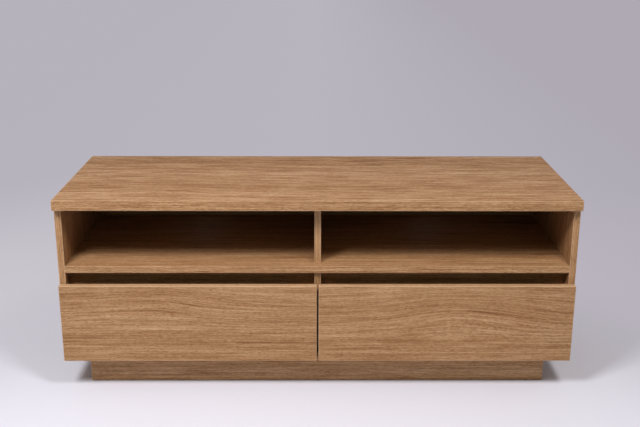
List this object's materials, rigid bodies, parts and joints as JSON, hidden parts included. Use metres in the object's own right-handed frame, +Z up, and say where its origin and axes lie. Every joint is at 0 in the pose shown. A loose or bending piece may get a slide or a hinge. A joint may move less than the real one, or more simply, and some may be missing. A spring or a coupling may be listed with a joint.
{
  "type": "tv stand",
  "caption": "Low oak-finish TV stand with a thick flush top, open bays over a full-width shelf, wide handleless drawers on telescopic slides and a recessed plinth.",
  "frame": {"origin": "centre of the footprint on the floor", "axes": "+X to the right along the width, +Y to the rear, +Z up; the drawers open towards -Y"},
  "size_m": [1.4, 0.5, 0.55],
  "materials": {
    "oak_board": "satin oak-faced board",
    "drawer_board": "matt pale oak board",
    "thin_board": "thin hard fibreboard, oak print on the inside",
    "block_wood": "planed softwood",
    "dowel_wood": "fluted beech",
    "slide_steel": "zinc-plated rolled steel",
    "bearing_steel": "bright steel",
    "screw_steel": "zinc-plated",
    "cam_zinc": "die-cast zinc, bronzed",
    "glide_plastic": "moulded nylon",
    "bumper_rubber": "soft translucent"
  },
  "bodies": {
    "carcass": {"back_panel": "thin_board", "back_panel_screws": "screw_steel", "bottom_panel": "oak_board", "cam_bolts": "cam_zinc", "cam_discs": "cam_zinc", "carcass_screws": "screw_steel", "drawer_bumpers": "bumper_rubber", "floor_glides": "glide_plastic", "left_drawer_left_outer_rail": "slide_steel", "left_drawer_right_outer_rail": "slide_steel", "left_pull_rail": "oak_board", "left_side_panel": "oak_board", "lower_divider": "oak_board", "middle_shelf": "oak_board", "plinth_centre_rail": "oak_board", "plinth_corner_blocks": "block_wood", "plinth_front_rail": "oak_board", "plinth_left_rail": "oak_board", "plinth_rear_rail": "oak_board", "plinth_right_rail": "oak_board", "plinth_screws": "screw_steel", "right_drawer_left_outer_rail": "slide_steel", "right_drawer_right_outer_rail": "slide_steel", "right_pull_rail": "oak_board", "right_side_panel": "oak_board", "slide_cabinet_screws": "screw_steel", "top_panel": "oak_board", "upper_divider": "oak_board", "wood_dowels": "dowel_wood"},
    "left_drawer": {"left_drawer_box_back": "drawer_board", "left_drawer_box_bottom": "thin_board", "left_drawer_box_screws": "screw_steel", "left_drawer_front": "oak_board", "left_drawer_front_screws": "screw_steel", "left_drawer_inner_front": "drawer_board", "left_drawer_left_inner_rail": "slide_steel", "left_drawer_left_side": "drawer_board", "left_drawer_right_inner_rail": "slide_steel", "left_drawer_right_side": "drawer_board", "left_drawer_slide_screws": "screw_steel"},
    "left_drawer_middle_rails": {"left_drawer_left_middle_rail": "slide_steel", "left_drawer_right_middle_rail": "slide_steel"},
    "left_drawer_outer_cages": {"left_drawer_outer_ball_cages": "bearing_steel"},
    "left_drawer_inner_cages": {"left_drawer_inner_ball_cages": "bearing_steel"},
    "right_drawer": {"right_drawer_box_back": "drawer_board", "right_drawer_box_bottom": "thin_board", "right_drawer_box_screws": "screw_steel", "right_drawer_front": "oak_board", "right_drawer_front_screws": "screw_steel", "right_drawer_inner_front": "drawer_board", "right_drawer_left_inner_rail": "slide_steel", "right_drawer_left_side": "drawer_board", "right_drawer_right_inner_rail": "slide_steel", "right_drawer_right_side": "drawer_board", "right_drawer_slide_screws": "screw_steel"},
    "right_drawer_middle_rails": {"right_drawer_left_middle_rail": "slide_steel", "right_drawer_right_middle_rail": "slide_steel"},
    "right_drawer_outer_cages": {"right_drawer_outer_ball_cages": "bearing_steel"},
    "right_drawer_inner_cages": {"right_drawer_inner_ball_cages": "bearing_steel"}
  },
  "joints": [
    {"name": "left_drawer_slide", "type": "slide", "parent": "carcass", "child": "left_drawer", "axis": [0, -1, 0], "range_m": [0, 0.45]},
    {"name": "left_drawer_middle_rails_slide", "type": "slide", "parent": "carcass", "child": "left_drawer_middle_rails", "axis": [0, -1, 0], "range_m": [0, 0.225]},
    {"name": "left_drawer_outer_cages_slide", "type": "slide", "parent": "carcass", "child": "left_drawer_outer_cages", "axis": [0, -1, 0], "range_m": [0, 0.1125]},
    {"name": "left_drawer_inner_cages_slide", "type": "slide", "parent": "carcass", "child": "left_drawer_inner_cages", "axis": [0, -1, 0], "range_m": [0, 0.3375]},
    {"name": "right_drawer_slide", "type": "slide", "parent": "carcass", "child": "right_drawer", "axis": [0, -1, 0], "range_m": [0, 0.45]},
    {"name": "right_drawer_middle_rails_slide", "type": "slide", "parent": "carcass", "child": "right_drawer_middle_rails", "axis": [0, -1, 0], "range_m": [0, 0.225]},
    {"name": "right_drawer_outer_cages_slide", "type": "slide", "parent": "carcass", "child": "right_drawer_outer_cages", "axis": [0, -1, 0], "range_m": [0, 0.1125]},
    {"name": "right_drawer_inner_cages_slide", "type": "slide", "parent": "carcass", "child": "right_drawer_inner_cages", "axis": [0, -1, 0], "range_m": [0, 0.3375]}
  ],
  "couplings": [
    {"joint": "left_drawer_middle_rails_slide", "follows": "left_drawer_slide", "ratio": 0.5},
    {"joint": "left_drawer_outer_cages_slide", "follows": "left_drawer_slide", "ratio": 0.25},
    {"joint": "left_drawer_inner_cages_slide", "follows": "left_drawer_slide", "ratio": 0.75},
    {"joint": "right_drawer_middle_rails_slide", "follows": "right_drawer_slide", "ratio": 0.5},
    {"joint": "right_drawer_outer_cages_slide", "follows": "right_drawer_slide", "ratio": 0.25},
    {"joint": "right_drawer_inner_cages_slide", "follows": "right_drawer_slide", "ratio": 0.75}
  ]
}
